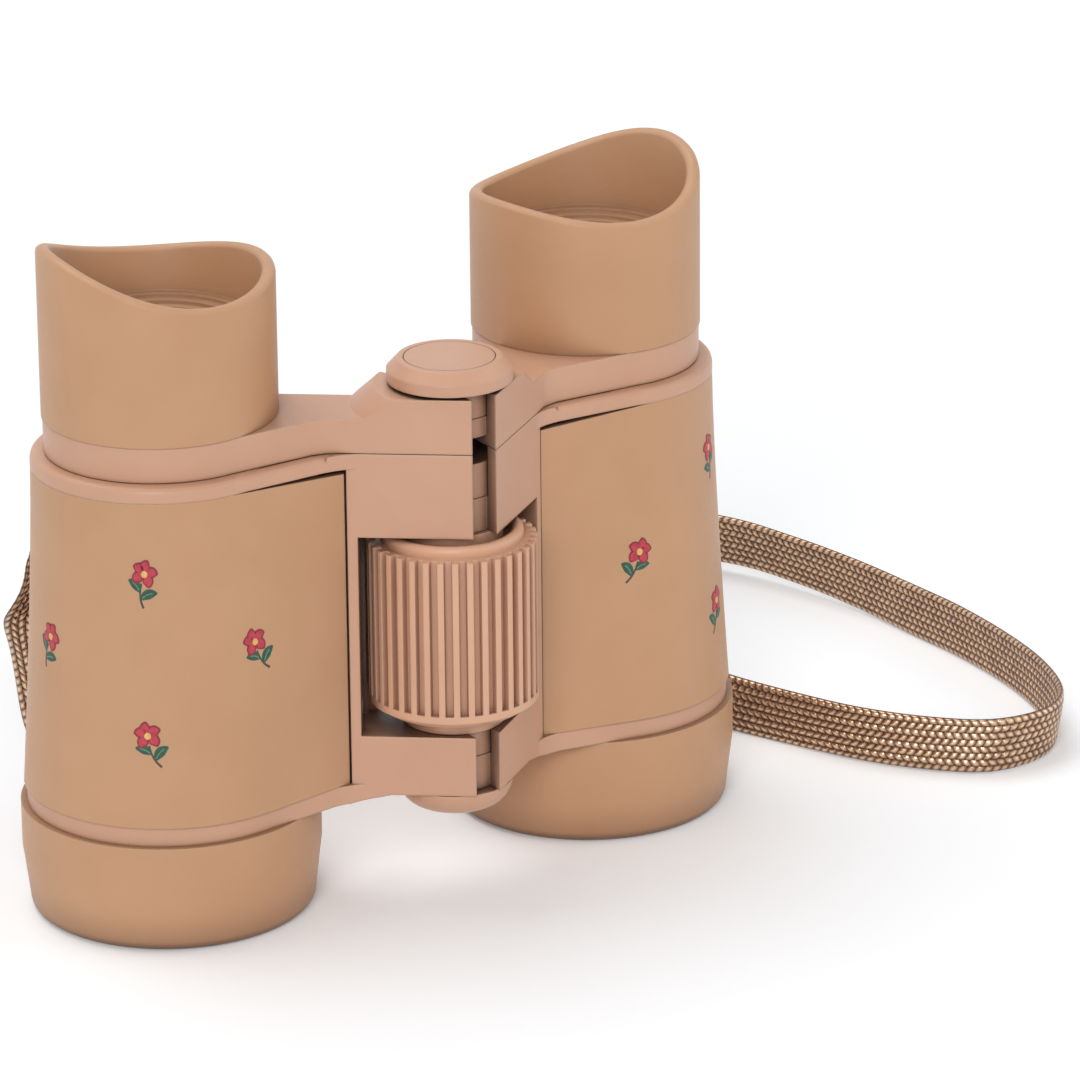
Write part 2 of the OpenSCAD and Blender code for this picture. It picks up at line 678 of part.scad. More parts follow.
module eyecup() {
  seat_top = aperture_z - aperture_wall;
  seat_low = ocular_z - ocular_ring_height - over;
  sections = [for (i = [0 : cup_side_count - 1]) cup_section(i * 360 / cup_side_count)];
  row = len(sections[0]);
  foot = cup_side_count * row;
  points = concat(
    [for (i = [0 : cup_side_count - 1], q = sections[i])
      let (a = i * 360 / cup_side_count) [q[0] * cos(a), q[0] * sin(a), q[1]]],
    [[0, 0, arm_top_z], [0, 0, cup_floor_z]]
  );
  faces = [
    for (i = [0 : cup_side_count - 1])
      let (a = i * row, b = (i + 1) % cup_side_count * row)
      each concat(
        [for (k = [0 : row - 2]) each [[a + k, a + k + 1, b + k + 1], [a + k, b + k + 1, b + k]]],
        [[foot, a, b], [foot + 1, b + row - 1, a + row - 1]]
      )
  ];
  color(grip_colour) at_barrel() difference() {
    polyhedron(points, faces);
    for (k = [1 : step_count]) translate([0, 0, cup_floor_z - k * step_height])
      cylinder(h = step_height + over, r = mix(cup_floor_r, aperture_r, k / (step_count + 1)));
    translate([0, 0, arm_top_z - over]) cylinder(h = cup_floor_z - arm_top_z, r = aperture_r);
    translate([0, 0, arm_top_z - over]) cylinder(h = seat_top - arm_top_z + over, r = ocular_seat_r);
    translate([0, 0, arm_top_z - over]) cylinder(h = seat_low - arm_top_z + over, r = tube_bore_r);
  }
}

module ocular_lens() {
  at_barrel() translate([0, 0, ocular_z + ocular_edge]) mirror([0, 0, 1])
    lens(ocular_r, aperture_r, ocular_edge, ocular_curve_r);
}

module ocular_ring() {
  color(dark_colour) at_barrel() translate([0, 0, ocular_z - ocular_ring_height]) difference() {
    cylinder(h = ocular_ring_height, r = ocular_r);
    translate([0, 0, -over]) cylinder(h = ocular_ring_height + 2 * over, r = ocular_r - retainer_wall);
  }
}

module focus_wheel() {
  core_r = wheel_r - rib_depth;
  flange_top = rib_top_z + flange_height;
  flange_mid = flange_r - flange_thick / 2;
  groove_z = flange_top - hub_groove;
  color(shell_colour) at_hinge() difference() {
    union() {
      rotate_extrude() {
        polygon([
          [0, neck_low_z], [hub_r, neck_low_z], [hub_r, band_low_z], [band_low_r, band_low_z],
          [wheel_r, rib_low_z - rib_depth], [wheel_r, rib_low_z], [core_r, rib_low_z],
          [core_r, rib_top_z], [flange_r, rib_top_z], [flange_r, flange_top - flange_thick / 2],
          [flange_r - flange_thick, flange_top - flange_thick / 2], [flange_r - flange_thick, groove_z],
          [hub_r, groove_z], [hub_r, hub_top_z], [0, hub_top_z]
        ]);
        translate([flange_mid, flange_top - flange_thick / 2]) circle(r = flange_thick / 2);
      }
      translate([0, 0, rib_low_z]) linear_extrude(rib_top_z - rib_low_z) intersection() {
        circle(r = wheel_r);
        for (k = [0 : rib_count - 1]) rotate(k * 360 / rib_count)
          translate([flange_mid, -rib_width / 2]) square([wheel_r, rib_width]);
      }
    }
    translate([0, 0, neck_low_z - over])
      cylinder(h = hub_top_z - neck_low_z + 2 * over, r = shaft_r + turn_clear);
  }
}

module focus_shaft() {
  color(metal_colour) hinge_disc(shaft_r, [shaft_low_z, cap_low_z + cap_side]);
}

module top_cap() {
  top = cap_low_z + cap_height;
  recess_r = disc_r + face_clear;
  color(shell_colour) at_hinge() difference() {
    rotate_extrude() polygon([
      [0, boss_top_z], [cap_foot_r, boss_top_z], [cap_foot_r, cap_low_z], [cap_r, cap_low_z],
      [cap_r, cap_low_z + cap_side], [cap_top_r, top], [recess_r, top],
      [recess_r, top - disc_height], [0, top - disc_height]
    ]);
    translate([0, 0, boss_top_z - over]) cylinder(h = cap_gap + cap_side + over, r = shaft_r);
  }
}

module cap_disc() {
  top = cap_low_z + cap_height;
  color(shell_colour) hinge_disc(disc_r, [top - disc_height, top]);
}

module bottom_cap() {
  top = lower_low_z - face_clear;
  flat_r = bottom_cap_r - bottom_cap_height;
  color(shell_colour) {
    at_hinge() rotate_extrude() intersection() {
      translate([0, top - bottom_cap_height]) square([bottom_cap_r, bottom_cap_height]);
      union() {
        translate([0, top - bottom_cap_height]) square([flat_r, bottom_cap_height]);
        translate([flat_r, top]) circle(r = bottom_cap_height);
      }
    }
    hinge_disc(shaft_r, [top, lower_top_z - face_clear]);
  }
}

// strap: a smooth line through the route, and a flat section with rounded edges carried along it
function clamped(list, i) = list[max(0, min(len(list) - 1, i))];
function between(list, i, t) =
  let (a = clamped(list, i - 1), b = clamped(list, i), c = clamped(list, i + 1), d = clamped(list, i + 2))
  b + t * ((c - a) + t * ((2 * a - 5 * b + 4 * c - d) + t * (3 * b - a - 3 * c + d))) / 2;
function smooth(list) = concat(
  [for (i = [0 : len(list) - 2], k = [0 : strap_part_count - 1]) between(list, i, k / strap_part_count)],
  [list[len(list) - 1]]
);

module strap() {
  line = smooth(strap_route);
  turn = smooth(strap_turn);
  last = len(line) - 1;
  half_w = strap_width / 2;
  half_t = strap_thick / 2;
  edge = half_t / 2;
  section = [
    [half_w, -edge], [half_w, edge], [half_w - edge, half_t], [edge - half_w, half_t],
    [-half_w, edge], [-half_w, -edge], [edge - half_w, -half_t], [half_w - edge, -half_t]
  ];
  sides = len(section);
  points = [
    for (i = [0 : last])
      let (
        along = i == 0 ? [0, 1, 0] : i == last ? [0, -1, 0] : unit(line[i + 1] - line[i - 1]),
        up = unit([0, 0, 1] - along[2] * along),
        side = cross(along, up),
        wide = cos(turn[i]) * up + sin(turn[i]) * side,
        thick = cross(along, wide)
      )
      for (q = section) line[i] + q[0] * wide + q[1] * thick
  ];
  faces = concat(
    [[for (k = [0 : sides - 1]) k]],
    [for (i = [0 : last - 1], k = [0 : sides - 1])
      let (a = i * sides + k, b = i * sides + (k + 1) % sides)
      each [[a, a + sides, b + sides], [a, b + sides, b]]],
    [[for (k = [sides - 1 : -1 : 0]) last * sides + k]]
  );
  color(strap_colour) polyhedron(points, faces);
}

module left_panel() { grip_panel(); }
module left_ring() { objective_ring(); }
module left_lens() { objective_lens(); }
module left_retainer() { lens_retainer(); }
module left_cup() { eyecup(); }
module left_ocular() { ocular_lens(); }
module left_ocular_ring() { ocular_ring(); }
module right_panel() { mirror([1, 0, 0]) grip_panel(); }
module right_ring() { mirror([1, 0, 0]) objective_ring(); }
module right_lens() { mirror([1, 0, 0]) objective_lens(); }
module right_retainer() { mirror([1, 0, 0]) lens_retainer(); }
module right_cup() { mirror([1, 0, 0]) eyecup(); }
module right_ocular() { mirror([1, 0, 0]) ocular_lens(); }
module right_ocular_ring() { mirror([1, 0, 0]) ocular_ring(); }

left_body();
left_panel();
left_ring();
left_lens();
left_retainer();
left_arm();
left_cup();
left_ocular();
left_ocular_ring();
right_body();
right_panel();
right_ring();
right_lens();
right_retainer();
right_arm();
right_cup();
right_ocular();
right_ocular_ring();
focus_wheel();
focus_shaft();
top_cap();
cap_disc();
bottom_cap();
strap();
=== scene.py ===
"""Looks, light and camera of the toy binoculars. Metres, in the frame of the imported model."""

import json
import math

import bpy
import numpy as np
from mathutils import Matrix, Vector
from mathutils.bvhtree import BVHTree


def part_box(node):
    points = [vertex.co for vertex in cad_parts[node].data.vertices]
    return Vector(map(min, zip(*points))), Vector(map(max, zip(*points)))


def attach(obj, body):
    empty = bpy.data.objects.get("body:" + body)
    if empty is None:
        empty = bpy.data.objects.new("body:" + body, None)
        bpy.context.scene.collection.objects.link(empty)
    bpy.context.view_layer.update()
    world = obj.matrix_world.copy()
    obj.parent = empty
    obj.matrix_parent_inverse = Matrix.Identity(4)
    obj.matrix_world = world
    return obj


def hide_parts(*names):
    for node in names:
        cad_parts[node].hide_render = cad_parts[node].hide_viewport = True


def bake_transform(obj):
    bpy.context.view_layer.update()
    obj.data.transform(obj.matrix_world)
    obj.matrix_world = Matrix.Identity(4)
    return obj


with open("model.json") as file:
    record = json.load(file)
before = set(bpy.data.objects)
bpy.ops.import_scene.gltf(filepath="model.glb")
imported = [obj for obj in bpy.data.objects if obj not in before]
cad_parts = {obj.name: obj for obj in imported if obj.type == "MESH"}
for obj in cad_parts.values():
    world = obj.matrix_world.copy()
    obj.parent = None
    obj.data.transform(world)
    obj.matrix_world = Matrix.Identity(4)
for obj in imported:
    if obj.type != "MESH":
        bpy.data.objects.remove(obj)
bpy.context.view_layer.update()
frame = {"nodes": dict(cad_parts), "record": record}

MM = 0.001
UP = Vector((0, 0, 1))

# camera, solved from the photograph's round edges
CAMERA_AT = Vector((-0.44526, -0.73512, 0.35946))
CAMERA_AIM = Vector((0.50734, 0.78991, -0.34446))
CAMERA_ROLL = -0.009
CAMERA_LENS = 227.1
CAMERA_SENSOR = 36
CAMERA_NEAR = 0.01
CAMERA_SHIFT = (-0.0075, -0.0031)

# barrels and hinge
BARREL_X = 0.0332
HINGE = Vector((0, -0.0184, 0))

# CAD nodes: points closer than this are one, and edges that turn more than this stay sharp
WELD_GAP = 0.02 * MM
SHARP_TURN = math.radians(28)

# wall behind the wheel, round the hinge: angles of the left one, inner radius, thickness and heights
GUARD_TURNS = (139, 113)
GUARD_R, GUARD_WALL = 0.012, 0.0012
GUARD_Z = (0.017, 0.0524)
GUARD_PARTS = 12

# strap: route in millimetres and turn of its width in degrees, as in the part's source
STRAP_ROUTE = [
    (-33.2, 23.5, 44), (-33.4, 27.4, 43.4), (-34.6, 31.2, 39), (-35.6, 32.6, 32), (-34.8, 33.4, 24),
    (-32, 35, 14), (-27, 40, 7), (-19, 49, 4.4), (-12, 60, 4.1), (-8, 72, 4.1), (-2, 83, 4.1), (9, 88, 4.1),
    (20, 83, 4.1), (25, 72, 4.1), (26, 60, 4.1), (28, 48, 4.1), (34, 39, 4.1), (43, 36, 4.1), (52, 40, 4.1),
    (58, 50, 4.1), (61, 63, 4.1), (67, 75, 4.1), (79, 80, 4.4), (90, 73, 5), (98, 60, 5.4), (102, 48, 5),
    (104.6, 36, 4.4), (105.6, 24, 4.1), (106, 12, 4.1), (105, -1, 4.1), (102.6, -12, 4.1), (98.6, -21, 4.1),
    (93.6, -25.6, 4.1), (88, -26.8, 4.1), (82.6, -25.6, 4.1), (77.6, -21.4, 4.1), (72.6, -15, 4.1),
    (68.4, -7, 4.1), (62.6, 8, 4.1), (57, 19.6, 5.4), (50, 27.6, 10), (43, 31.6, 18), (37.4, 32.2, 27),
    (34.8, 31.6, 35), (33.6, 29.8, 40.6), (33.4, 27.4, 43.4), (33.2, 23.5, 44),
]
STRAP_TURN = [
    90, 90, 90, 90, 84, 66, 44, 20, 6, 0, 0, 0, 0, 0, 0, 0, 0, 0, 0, 0, 0, 0, 0, 4, 8, 8, 4, 0, 0, 0,
    -4, -8, -8, -4, 0, 0, 0, 0, 6, 20, 40, 60, 76, 88, 90, 90, 90,
]
STRAP_WIDTH = 8 * MM
STRAP_THICK = 1.2 * MM
STRAP_STEP = 0.2 * MM
STRAP_COLUMNS = 32
# how square its edges are, and parts of the spline between two points of the route or of an eye
STRAP_SQUARE = 5
ROUTE_PARTS, LOOP_PARTS = 24, 12
# rows over which the turn of the strap's width is eased
STRAP_EASE = 71

# stitches: rows from the strap's ends, stitches in a row, share of the width, length, width and height
STITCH_ROWS = (6.4 * MM, 8.4 * MM)
STITCH_COUNT = 6
STITCH_SPREAD = 0.7
STITCH_SIZE = (1.5 * MM, 0.5 * MM, 0.3 * MM)

# braid: pitch of the pillows along a row, distance between rows, how far they lean and their height
BRAID_PITCH = 1.2 * MM
BRAID_ROW = 1.0 * MM
BRAID_LEAN = 0.45
BRAID_RELIEF = 0.2 * MM
# how full the pillows are in the mesh and in the material, threads in one and their share of its height
BRAID_FULL, BRAID_FULL_BUMP = 0.7, 0.6
BRAID_THREADS = 6
THREAD_SHARE = 0.03

# sewn eye of the strap round a lug's bar: depth behind the barrels' axes and height, in millimetres
LOOP_LINE = [
    (28.6, 43.6), (27.2, 44.3), (25.8, 45.7), (24.6, 47.6), (23.2, 48.5), (21.6, 48.4), (20.75, 47.2),
    (20.7, 44), (20.75, 40.8), (21.6, 39.6), (23.2, 39.5), (24.6, 40.4), (25.8, 41.6), (27.2, 42.5),
    (28.6, 42.8),
]

# plastics: scale of flow marks and of the grain, its depth, and how far the roughness strays
FLOW_SCALE, GRAIN_SCALE = 90, 2600
GRAIN_DEPTH = 0.05 * MM
ROUGH_SPREAD = 0.06
# parts of a noise's range that a ramp spreads
NARROW_BAND = (0.35, 0.65)
WIDE_BAND = (0.3, 0.7)
# painted edge highlights: cosines of the turn at which they start and are full, and their share of the
# highlight tone
EDGE_HIGHLIGHT_TURN = (0.98, 0.75)
EDGE_HIGHLIGHT_SHARE = 0.55
# painted shade in hollows: how far off a wall it reaches, how open the deepest spots are, and its share of
# the dark shade tone
SHADE_REACH = 8 * MM
SHADE_OPEN = 0.25
SHADE_SHARE = 0.92
# rays that feel for edges and hollows
NEAR_RAYS = 6

# stage: light of the world on the object, and what the floor adds for the camera to look white
WORLD_LEVEL = 0.34
FLOOR_LIFT = 0.12
FLOOR_COLOUR = (0.945, 0.965, 0.985, 1)
FLOOR_SIZE = 6
# suns: name, way the light travels, strength and angle
SUNS = (
    ("front", (0.6, 0.75, -0.55), 1.3, 28),
    ("top", (0.15, -0.4, -1.0), 1.2, 40),
    ("fill", (-0.9, 0.6, -0.5), 0.5, 50),
)

# printed sprigs: columns round a barrel from its inner side, in degrees, and the heights of even and odd
# columns in millimetres
PRINT_FIRST, PRINT_STEP = 40, 48
PRINT_COLUMNS = 6
PRINT_HEIGHTS = ((30.5, 52.5), (41.5,))
PRINT_LEANS = (-24, 18, 32, -12, 26, -30, 8, -18, 14)
PRINT_LAYER = 0.02 * MM
PRINT_SCALE = 1.12
PRINT_ROWS, PRINT_SIDES = 9, 3

# sprig in millimetres: petals, heart, stem and two leaves given by root, direction and size
PETAL_COUNT = 5
PETAL_SIZE = (1.75, 0.72)
PETAL_INNER = 0.74
HEART_R = 0.42
STEM = ((0.0, -1.2), (0.12, -2.2), (0.5, -3.2), (1.1, -4.0))
STEM_WIDTH = 0.13
STEM_TAPER = (0.7, 1.2)
STEM_PARTS = 4
LEAVES = (((0.12, -2.3), 152, (2.1, 0.56)), ((0.45, -3.1), 38, (2.3, 0.6)))
RIB_WIDTH = 0.07
# leaves and petals: bow of the middle line, and how blunt the tips and how full the sides are
LEAF_BOW = 0.12
LEAF_TIP = 0.03
LEAF_FULL = 0.8
# part of the heart's radius that its rows reach
HEART_REACH = 0.98


def spline(points, parts):
    """Catmull-Rom line through the points, with the given number of parts between two of them."""
    points = np.array(points, float)
    ends = np.concatenate([points[:1], points, points[-1:]])
    line = []
    for a, b, c, d in zip(ends, ends[1:], ends[2:], ends[3:]):
        for t in np.arange(parts) / parts:
            bend = (2 * a - 5 * b + 4 * c - d) + t * (3 * b - a - 3 * c + d)
            line.append(b + t * ((c - a) + t * bend) / 2)
    return np.array(line + [points[-1]])


def reaches(line):
    """Length along the line at each of its points."""
    return np.concatenate([[0], np.cumsum(np.linalg.norm(np.diff(line, axis=0), axis=1))])


def spaced(line, step):
    """Rows of the line at equal steps along its first three columns."""
    reach = reaches(line[:, :3])
    at = np.linspace(0, reach[-1], max(2, int(round(reach[-1] / step)) + 1))
    return np.stack([np.interp(at, reach, column) for column in line.T], axis=1)


def directions(line):
    """Unit directions along the line."""
    along = np.gradient(line, axis=0)
    return along / np.linalg.norm(along, axis=1)[:, None]


def new_mesh(name, points, faces, material=None):
    mesh = bpy.data.meshes.new(name)
    mesh.from_pydata([tuple(p) for p in points], [], faces)
    mesh.update()
    obj = bpy.data.objects.new(name, mesh)
    bpy.context.scene.collection.objects.link(obj)
    if material:
        mesh.materials.append(material)
    return obj


def ribbon(name, line, wides, material):
    """Braided flat strap along the line: staggered leaning pillows on both faces, UV in braid cells."""
    thicks = np.cross(directions(line), wides)
    reach = reaches(line)
    share = np.linspace(-1, 1, STRAP_COLUMNS + 1)
    around = np.concatenate([share, share[-2:0:-1]])
    sign = np.concatenate([np.ones(len(share)), -np.ones(len(share) - 2)])
    across = around * STRAP_WIDTH / 2
    u = reach[:, None] / BRAID_PITCH
    v = across[None, :] / BRAID_ROW
    odd = np.floor(v) % 2
    x = u + odd / 2 + BRAID_LEAN * (1 - 2 * odd) * (v % 1 - 0.5)
    pillow = np.abs(np.sin(math.pi * x) * np.sin(math.pi * v)) ** BRAID_FULL
    crown = np.sqrt(np.clip(1 - np.abs(around) ** STRAP_SQUARE, 0, 1))
    flat = STRAP_THICK / 2 - BRAID_RELIEF
    height = sign * crown * (flat + BRAID_RELIEF * pillow)
    points = line[:, None] + across[None, :, None] * wides[:, None] + height[..., None] * thicks[:, None]
    count, sides = points.shape[:2]
    ring = np.arange(sides)
    low = np.arange(count - 1)[:, None] * sides
    after = np.roll(ring, -1)
    quads = np.stack([low + ring, low + sides + ring, low + sides + after, low + after], -1)
    faces = [tuple(q) for q in quads.reshape(-1, 4).tolist()]
    faces += [tuple(ring.tolist()), tuple(((count - 1) * sides + ring[::-1]).tolist())]
    obj = new_mesh(name, points.reshape(-1, 3).tolist(), faces, material)
    obj.data.shade_smooth()
    layer = obj.data.uv_layers.new(name="braid")
    corners = np.empty(len(obj.data.loops), int)
    obj.data.loops.foreach_get("vertex_index", corners)
    uv = np.stack([np.broadcast_to(u, pillow.shape), np.broadcast_to(v, pillow.shape)], -1).reshape(-1, 2)
    layer.data.foreach_set("uv", uv[corners].astype(np.float32).ravel())
    return obj


# materials
def colour(code):
    """Linear colour of a six-digit sRGB code."""
    parts = [int(code[i:i + 2], 16) / 255 for i in (0, 2, 4)]
    return tuple(c / 12.92 if c <= 0.04045 else ((c + 0.055) / 1.055) ** 2.4 for c in parts) + (1,)


class Nodes:
    """Node tree of a new material with its Principled shader."""

    def __init__(self, name):
        self.material = bpy.data.materials.new(name)
        self.material.use_nodes = True
        self.tree = self.material.node_tree
        self.shader = self.tree.nodes["Principled BSDF"]

    def feed(self, socket, source):
        """Link the source to the socket, or set it there where it is a plain value."""
        if isinstance(source, bpy.types.NodeSocket):
            self.tree.links.new(source, socket)
        else:
            socket.default_value = source

    def add(self, kind, links=None, **values):
        node = self.tree.nodes.new("ShaderNode" + kind)
        for key, value in values.items():
            setattr(node, key, value)
        for socket, source in (links or {}).items():
            self.feed(node.inputs[socket], source)
        return node

    def math(self, operation, *sources):
        return self.add("Math", dict(enumerate(sources)), operation=operation).outputs[0]

    def ramp(self, source, low, high, to_low=0.0, to_high=1.0):
        return self.add("MapRange", {0: source, 1: low, 2: high, 3: to_low, 4: to_high}).outputs[0]

    def mix(self, factor, a, b):
        return self.add("Mix", {0: factor, 6: a, 7: b}, data_type="RGBA").outputs[2]

    def noise(self, where, scale, detail=2.0):
        return self.add("TexNoise", {"Vector": where, "Scale": scale, "Detail": detail}).outputs["Fac"]

    def put(self, **values):
        for key, value in values.items():
            self.feed(self.shader.inputs[key.replace("_", " ")], value)


def moulded(name, code, dark, highlight_code, shade_code, shade_fade_at, rough, grain, edge):
    """Moulded plastic: flow marks, spark-eroded grain, rounded edges with a painted highlight, and painted
    shade in hollows.
    """
    n = Nodes(name)
    where = n.add("TexCoord").outputs["Object"]
    flow = n.noise(where, FLOW_SCALE, 3)
    fine = n.noise(where, GRAIN_SCALE, 3)
    rounded = n.add("Bevel", {"Radius": edge}, samples=NEAR_RAYS).outputs[0]
    plain = n.add("NewGeometry").outputs["Normal"]
    turn = n.add("VectorMath", {0: rounded, 1: plain}, operation="DOT_PRODUCT").outputs["Value"]
    # painted highlight: where the rounded normal turns off the plain one, the tone is mixed toward a paler
    # highlight colour
    edge_highlight = n.ramp(turn, *EDGE_HIGHLIGHT_TURN, 0, EDGE_HIGHLIGHT_SHARE)
    tone = n.mix(n.ramp(flow, *NARROW_BAND), colour(dark), colour(code))
    tone = n.mix(edge_highlight, tone, colour(highlight_code))
    # painted shade: spots that see little open space round them are mixed toward a dark shade colour
    open_share = n.add("AmbientOcclusion", {"Distance": SHADE_REACH}, samples=NEAR_RAYS).outputs["AO"]
    tone = n.mix(n.ramp(open_share, SHADE_OPEN, shade_fade_at, SHADE_SHARE, 0), tone, colour(shade_code))
    bump = n.add("Bump", {"Strength": grain, "Distance": GRAIN_DEPTH, "Height": fine, "Normal": rounded})
    roughness = n.ramp(fine, *WIDE_BAND, rough - ROUGH_SPREAD, rough + ROUGH_SPREAD)
    n.put(Base_Color=tone, Roughness=roughness, Normal=bump.outputs[0])
    return n.material


def braided(name):
    """Shiny braid: each pillow is a bundle of fine threads that leans the other way in the next row."""
    n = Nodes(name)
    uv = n.add("UVMap", uv_map="braid").outputs[0]
    axes = n.add("SeparateXYZ", {0: uv}).outputs
    odd = n.math("FLOORED_MODULO", n.math("FLOOR", axes[1]), 2)
    across = n.math("SUBTRACT", n.math("FRACT", axes[1]), 0.5)
    lean = n.math("MULTIPLY", n.ramp(odd, 0, 1, BRAID_LEAN, -BRAID_LEAN), across)
    along = n.math("ADD", n.math("ADD", axes[0], n.math("MULTIPLY", odd, 0.5)), lean)
    wave = [n.math("ABSOLUTE", n.math("SINE", n.math("MULTIPLY", t, math.pi))) for t in (along, axes[1])]
    pillow = n.math("POWER", n.math("MULTIPLY", *wave), BRAID_FULL_BUMP)
    thread = n.math("SINE", n.math("MULTIPLY", along, 2 * BRAID_THREADS * math.pi))
    height = n.math("ADD", pillow, n.math("MULTIPLY", thread, THREAD_SHARE))
    patch = n.noise(n.add("TexCoord").outputs["Object"], 500, 2)
    yarn = n.mix(n.ramp(patch, *WIDE_BAND), colour("a6826a"), colour("c8a284"))
    # painted shade: the low ground between the pillows is mixed toward a dark brown
    tone = n.mix(n.ramp(pillow, 0.1, 0.7), colour("47352a"), yarn)
    # painted highlight: the crests of the pillows are mixed toward a pale glint colour
    tone = n.mix(n.ramp(pillow, 0.75, 0.98, 0, 0.8), tone, colour("f0d6b6"))
    bump = n.add("Bump", {"Strength": 0.9, "Distance": 0.12 * MM, "Height": height})
    roughness = n.ramp(thread, -1, 1, 0.23, 0.16)
    n.put(Base_Color=tone, Roughness=roughness, Normal=bump.outputs[0], Metallic=0.9)
    return n.material


def polished_glass(name):
    """Clear moulded lens with a faint haze of finger marks."""
    n = Nodes(name)
    where = n.add("TexCoord").outputs["Object"]
    haze = n.noise(where, 220, 4)
    bump = n.add("Bump", {"Strength": 0.02, "Distance": 0.02 * MM, "Height": haze})
    n.put(Base_Color=colour("eaf3f6"), Roughness=n.ramp(haze, 0.45, 0.75, 0.015, 0.09),
          Normal=bump.outputs[0], Transmission_Weight=1.0, IOR=1.49)
    return n.material


def turned_steel(name):
    """Turned rod: fine rings along its length."""
    n = Nodes(name)
    where = n.add("TexCoord").outputs["Object"]
    flattened = n.add("Mapping", {"Vector": where, "Scale": (60, 60, 9000)}).outputs[0]
    rings = n.noise(flattened, 1.0)
    bump = n.add("Bump", {"Strength": 0.2, "Distance": 0.02 * MM, "Height": rings})
    n.put(Base_Color=colour("b4b4b6"), Metallic=1.0, Roughness=n.ramp(rings, *WIDE_BAND, 0.24, 0.4),
          Normal=bump.outputs[0])
    return n.material


def ink(name, code, dark):
    """Printed ink, a little uneven, with the grain of what it is printed on."""
    n = Nodes(name)
    where = n.add("TexCoord").outputs["Object"]
    patch = n.noise(where, 1500, 3)
    grain = n.noise(where, GRAIN_SCALE, 3)
    bump = n.add("Bump", {"Strength": 0.15, "Distance": 0.03 * MM, "Height": grain})
    n.put(Base_Color=n.mix(n.ramp(patch, *NARROW_BAND), colour(dark), colour(code)),
          Roughness=n.ramp(patch, *WIDE_BAND, 0.42, 0.56), Normal=bump.outputs[0])
    return n.material


# arguments: tone, flow-mark tone, painted edge highlight, painted shade in hollows, open share where the
# shade fades out, roughness, grain and edge radius
GRIP = moulded("grip_plastic", "c59772", "c1936e", "d5ab86", "6f4e38", 0.85, 0.46, 0.22, 0.35 * MM)
SHELL = moulded("shell_plastic", "cea084", "ca9c80", "e6bd9f", "3e2a1f", 0.6, 0.40, 0.14, 0.45 * MM)
# wheel: the shell plastic made lighter all over, painted light that brightens its shaded ribs
WHEEL_LIGHTENED_SHELL = moulded("wheel_lightened_shell", "dcab8c", "d8a788", "efcab0", "a0745c", 0.62, 0.40, 0.14, 0.3 * MM)
DARK = moulded("dark_plastic", "242221", "1d1b1a", "3a3735", "0c0b0b", 0.62, 0.5, 0.2, 0.15 * MM)
GLASS = polished_glass("lens_glass")
STEEL = turned_steel("shaft_steel")
BRAID = braided("strap_braid")
THREAD = ink("strap_thread", "6b4d38", "553b2a")
INKS = [
    ink("ink_petal_edge", "96283a", "83202f"), ink("ink_petal", "c4404f", "ad3040"),
    ink("ink_heart", "e4bd74", "d6a95c"), ink("ink_leaf", "2b5a46", "214a39"),
    ink("ink_rib", "64937a", "55836a"), ink("ink_stem", "5a4a3e", "4a3b31"),
]
PETAL_EDGE, PETAL, HEART, LEAF, RIB, STALK = range(len(INKS))
FINISH = {"grip": GRIP, "shell": SHELL, "lens": GLASS, "retainer": DARK, "shaft": STEEL}
# the wheel takes the lightened copy of the shell plastic in place of its slot's finish
LIGHTENED_FINISH = {"focus_wheel": WHEEL_LIGHTENED_SHELL}


# camera
def place_camera():
    data = bpy.data.cameras.new("camera")
    data.lens = CAMERA_LENS
    data.sensor_width = CAMERA_SENSOR
    data.shift_x, data.shift_y = CAMERA_SHIFT
    data.clip_start = CAMERA_NEAR
    back = -CAMERA_AIM.normalized()
    right = UP.cross(back).normalized()
    above = back.cross(right)
    c, s = math.cos(CAMERA_ROLL), math.sin(CAMERA_ROLL)
    turned = Matrix((c * right + s * above, c * above - s * right, back)).transposed()
    obj = bpy.data.objects.new("camera", data)
    obj.matrix_world = Matrix.Translation(CAMERA_AT) @ turned.to_4x4()
    bpy.context.scene.collection.objects.link(obj)
    bpy.context.scene.camera = obj


# strap
def eased(wides, along):
    """Width directions averaged over the rows beside each, and square to the line."""
    weight = np.hanning(STRAP_EASE)
    padded = np.pad(wides, ((STRAP_EASE // 2,) * 2, (0, 0)), mode="edge")
    wides = np.stack([np.convolve(column, weight / weight.sum(), "valid") for column in padded.T], axis=1)
    wides -= (wides * along).sum(axis=1)[:, None] * along
    return wides / np.linalg.norm(wides, axis=1)[:, None]


def stitches(name, line, along, wides):
    """Rows of stitches across both faces of the strap near the first end of the line."""
    length, width, height = STITCH_SIZE
    points, faces = [], []
    for row in STITCH_ROWS:
        k = round(row / STRAP_STEP)
        t, w = along[k], wides[k]
        n = np.cross(t, w)
        for face in (1, -1):
            for share in np.linspace(-STITCH_SPREAD, STITCH_SPREAD, STITCH_COUNT):
                middle = line[k] + (share * STRAP_WIDTH * w + face * STRAP_THICK * n) / 2
                first = len(points)
                points += [middle + step / 2 for step in (length * t, width * w, -length * t, -width * w)]
                points += [middle + height * n, middle - height * n]
                for i in range(4):
                    a, b = first + i, first + (i + 1) % 4
                    faces += [(a, b, first + 4), (b, a, first + 5)]
    obj = new_mesh(name, points, faces, THREAD)
    obj.data.shade_smooth()
    return obj


